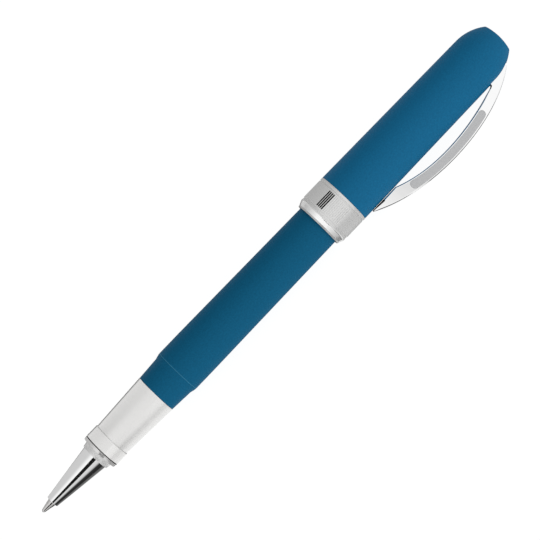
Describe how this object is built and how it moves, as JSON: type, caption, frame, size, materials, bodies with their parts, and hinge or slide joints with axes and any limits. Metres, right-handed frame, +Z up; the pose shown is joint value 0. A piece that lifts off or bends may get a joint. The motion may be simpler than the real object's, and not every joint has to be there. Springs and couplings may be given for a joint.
{
  "type": "rollerball pen",
  "caption": "Capped rollerball pen lying with its cap posted: matt blue barrel and cap, metal grip and nose cone, reeded cap band, bowed spring clip, screw-out section with refill.",
  "frame": {"origin": "on the surface that the pen lies on, under the middle of its bounding box; the pen's own axis is 2.276 mm towards +Y and 6.94 mm above it", "axes": "+X along the pen from the writing ball to the cap's end, +Z up from the surface, and the clip towards -Y, rolled 27.4 degrees below the horizontal so that it and the cap band rest on the surface"},
  "size_m": [0.1544, 0.0184, 0.0139],
  "materials": {
    "blue_body": "matt soft-touch lacquer with a fine even grain",
    "polished_chrome": "mirror polish",
    "satin_metal": "fine satin with polished edges",
    "brass": "turned, unplated",
    "spring_steel": "drawn and ground steel",
    "magnet": "nickel-plated sintered magnet",
    "refill_metal": "drawn steel tube",
    "point_metal": "turned nickel silver",
    "carbide": "lapped carbide",
    "black_plastic": "moulded, fine spark texture",
    "fibre": "bonded fibre soaked with blue ink",
    "grey_enamel": "matt enamel, flush with the clip's face"
  },
  "bodies": {
    "barrel": {"barrel_shell": "blue_body", "barrel_thread_insert": "brass", "barrel_tail_plug": "blue_body", "refill_spring": "spring_steel"},
    "refill": {"refill_tube": "refill_metal", "refill_nose": "black_plastic", "refill_point": "point_metal", "refill_end_plug": "black_plastic", "ink_reservoir": "fibre", "ink_feed": "fibre"},
    "ball": {"writing_ball": "carbide"},
    "section": {"nose_cone": "polished_chrome", "trim_ring": "satin_metal", "section_shell": "satin_metal", "section_collar": "blue_body", "section_connector": "brass", "keeper_ring": "spring_steel"},
    "cap": {"cap_shell": "blue_body", "cap_band": "satin_metal", "cap_liner": "black_plastic", "closure_magnet": "magnet", "cap_finial": "blue_body", "clip_carrier": "brass", "clip_pivot_pin": "spring_steel", "clip_spring": "spring_steel"},
    "clip": {"clip_bow": "polished_chrome", "clip_inlay_upper": "grey_enamel", "clip_inlay_lower": "grey_enamel"}
  },
  "joints": [
    {"name": "cap_post", "type": "slide", "parent": "barrel", "child": "cap", "axis": [1, 0, 0], "range_m": [0, 0.042]},
    {"name": "clip_lift", "type": "hinge", "parent": "cap", "child": "clip", "pos_m": [0.07005, -0.00003, 0.00574], "axis": [0, -0.4609, 0.8875], "range_deg": [0, 6], "stiffness_Nm_per_rad": 0.8, "springref_deg": -1.72},
    {"name": "section_travel", "type": "slide", "parent": "barrel", "child": "refill", "axis": [-1, 0, 0], "range_m": [0, 0.0051], "deforming": ["refill_spring"]},
    {"name": "section_turn", "type": "hinge", "parent": "refill", "child": "section", "pos_m": [-0.03725, 0.00228, 0.00694], "axis": [-1, 0, 0], "range_deg": [0, 1800]},
    {"name": "ball_roll", "type": "hinge", "parent": "refill", "child": "ball", "pos_m": [-0.0769, 0.00228, 0.00694], "axis": [0, -0.4609, 0.8875], "continuous": true}
  ],
  "couplings": [
    {"joint": "section_travel", "follows": "section_turn", "m_per_rad": 0.00015915}
  ]
}
